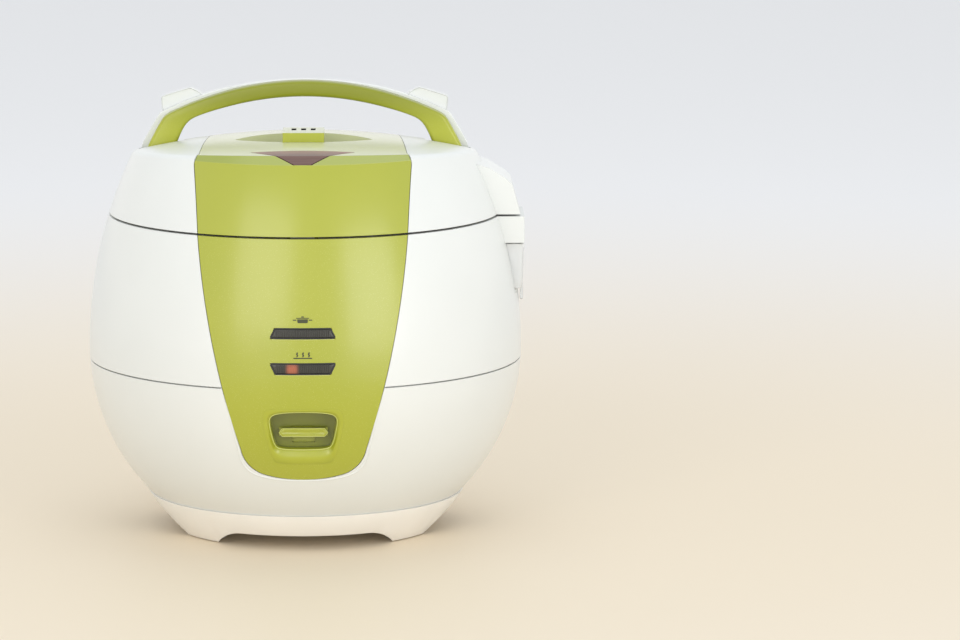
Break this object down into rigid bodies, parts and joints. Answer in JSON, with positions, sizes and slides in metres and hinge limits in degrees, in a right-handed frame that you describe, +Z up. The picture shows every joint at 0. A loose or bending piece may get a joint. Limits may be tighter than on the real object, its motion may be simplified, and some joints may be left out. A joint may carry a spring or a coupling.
{
  "type": "rice cooker",
  "caption": "Round jar rice cooker with a hinged lid, carrying handle, steam vent, dew cup, lamps and a press-down cook lever.",
  "frame": {"origin": "middle of the whole cooker on the surface that it stands on", "axes": "+Z up, the front panel faces -Y, +X is the user's right when facing the front panel"},
  "size_m": [0.2616, 0.2882, 0.271],
  "materials": {
    "white_shell": "satin moulded plastic",
    "white_base": "satin moulded plastic",
    "green_panel": "gloss moulded plastic with a fine pearl",
    "green_handle": "satin moulded plastic",
    "smoked_lens": "smoked, fine upright ribs",
    "lamp": "neon lamp",
    "brushed_button": "brushed mauve",
    "clear_cup": "clear ribbed plastic",
    "grey_plastic": "matte",
    "black_plastic": "matte",
    "steel": "zinc plated",
    "aluminium": "satin",
    "nonstick": "dark non-stick coating",
    "rubber": "soft",
    "silicone": "translucent white",
    "board": "phenolic board",
    "brass": "bare",
    "wire": "insulated wire",
    "magnet": "ferrite"
  },
  "bodies": {
    "housing": {"base_ring": "white_base", "foot_pads": "rubber", "bottom_cover": "white_base", "base_screws": "steel", "lower_housing": "white_shell", "upper_housing": "white_shell", "dew_pocket": "white_shell", "drain_chute": "white_shell", "front_panel": "green_panel", "cook_lens": "smoked_lens", "warm_lens": "smoked_lens", "lever_well": "green_panel", "lamp_housing": "white_base", "lamp_board": "board", "indicator_lamps": "lamp", "rim_ring": "white_base", "latch_catch": "steel", "inner_casing": "steel", "casing_posts": "steel", "chassis_plate": "steel", "side_heater": "steel", "inner_pot": "nonstick", "heating_plate": "aluminium", "heater_tube": "steel", "plate_legs": "steel", "thermal_fuse": "brass", "sensor_cup": "aluminium", "sensor_ferrite": "magnet", "sensor_spring": "steel", "sensor_bracket": "steel", "lever_bracket": "steel", "lever_pin": "steel", "micro_switch": "black_plastic", "terminal_block": "black_plastic", "wiring_leads": "wire", "power_inlet": "black_plastic", "inlet_pins": "brass", "rear_cover": "white_shell", "hinge_pin": "steel", "hinge_spring": "steel"},
    "lid": {"lid_shell": "white_shell", "lid_panel": "green_panel", "latch_guide": "grey_plastic", "button_spring": "steel", "steam_tube": "silicone", "lid_liner": "grey_plastic", "lid_screws": "steel", "inner_lid": "aluminium", "lid_gasket": "silicone", "inner_lid_knob": "silicone"},
    "carry_handle": {"handle_grip": "green_handle", "handle_shell": "white_shell", "handle_pins": "steel"},
    "release_button": {"lid_button": "brushed_button"},
    "latch": {"lid_latch": "grey_plastic"},
    "steam_cap": {"vent_cap": "green_panel"},
    "dew_cup": {"dew_cup": "clear_cup"},
    "cook_key": {"cook_key": "green_panel"},
    "rocker": {"switch_lever": "steel"},
    "lift_magnet": {"sensor_magnet": "magnet"}
  },
  "joints": [
    {"name": "lid_hinge", "type": "hinge", "parent": "housing", "child": "lid", "pos_m": [0, 0.1283, 0.183], "axis": [-1, 0, 0], "range_deg": [0, 80]},
    {"name": "handle_fold", "type": "hinge", "parent": "lid", "child": "carry_handle", "pos_m": [0, -0.0017, 0.226], "axis": [-1, 0, 0], "range_deg": [0, 85]},
    {"name": "lid_button_press", "type": "slide", "parent": "lid", "child": "release_button", "axis": [0, 0, -1], "range_m": [0, 0.0025], "stiffness_N_per_m": 400, "springref_m": -0.001},
    {"name": "latch_slide", "type": "slide", "parent": "lid", "child": "latch", "axis": [0, 1, 0], "range_m": [0, 0.003]},
    {"name": "vent_cap_lift", "type": "slide", "parent": "lid", "child": "steam_cap", "axis": [0, 0, 1], "range_m": [0, 0.022]},
    {"name": "dew_cup_pull", "type": "slide", "parent": "housing", "child": "dew_cup", "axis": [1, 0, 0], "range_m": [0, 0.032]},
    {"name": "cook_key_press", "type": "slide", "parent": "housing", "child": "cook_key", "axis": [0, 0, -1], "range_m": [0, 0.004], "stiffness_N_per_m": 300, "springref_m": -0.002},
    {"name": "rocker_turn", "type": "hinge", "parent": "housing", "child": "rocker", "pos_m": [0, -0.0757, 0.0445], "axis": [1, 0, 0], "range_deg": [0, 5.7]},
    {"name": "magnet_lift", "type": "slide", "parent": "housing", "child": "lift_magnet", "axis": [0, 0, 1], "range_m": [0, 0.0062]}
  ],
  "couplings": [
    {"joint": "latch_slide", "follows": "lid_button_press", "ratio": 1.2},
    {"joint": "rocker_turn", "follows": "cook_key_press", "rad_per_m": 24.43},
    {"joint": "magnet_lift", "follows": "cook_key_press", "ratio": 1.525}
  ]
}
